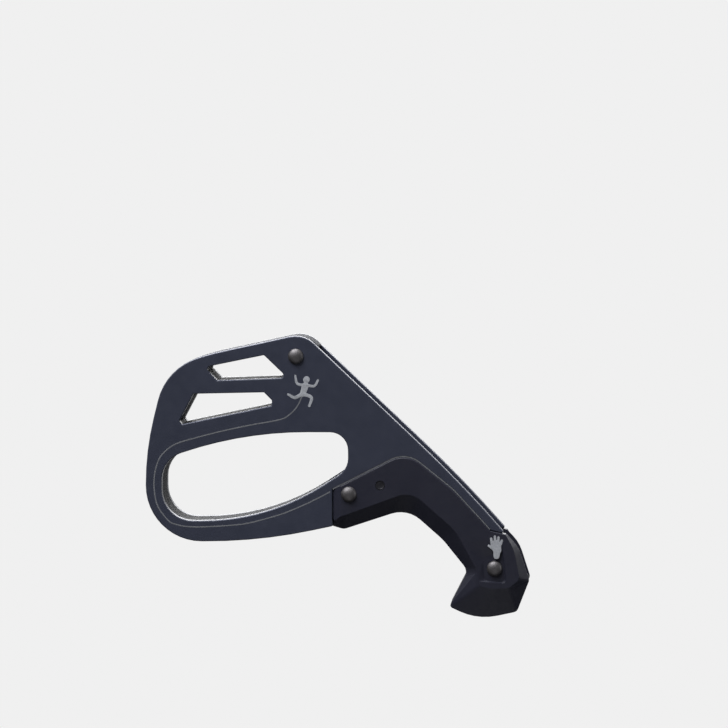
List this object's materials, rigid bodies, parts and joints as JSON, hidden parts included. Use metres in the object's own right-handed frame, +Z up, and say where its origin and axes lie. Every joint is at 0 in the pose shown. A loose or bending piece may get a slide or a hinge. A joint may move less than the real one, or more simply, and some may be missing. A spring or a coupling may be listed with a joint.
{
  "type": "belay device",
  "caption": "Assisted-braking belay device: riveted side plates round a rope channel, a long carabiner slot and a handle with a thumb hook.",
  "frame": {"origin": "centre of the bounding box, in the middle plane between the side plates", "axes": "+X from the carabiner loop towards the thumb hook, +Z up as the device hangs on the rope, +Y across the rope channel, away from the near plate"},
  "size_m": [0.1155, 0.024, 0.0847],
  "materials": {
    "plate": "slate anodised, fine satin",
    "cover": "slate moulded plastic, fine texture",
    "core": "black moulded plastic",
    "frame": "dark anodised, satin",
    "rivet": "dark nickel, polished dome",
    "stainless": "bare stainless steel, satin"
  },
  "bodies": {
    "root": {"side_plate_near": "plate", "side_plate_far": "plate", "handle_cover_near": "cover", "handle_cover_far": "cover", "handle_core": "core", "core_frame": "frame", "brake_insert": "stainless", "rivet_top": "rivet", "rivet_front": "rivet", "rivet_rear": "rivet", "sleeve_top": "stainless", "sleeve_front": "stainless", "sleeve_rear": "stainless", "dowel_pin": "rivet"}
  },
  "joints": []
}
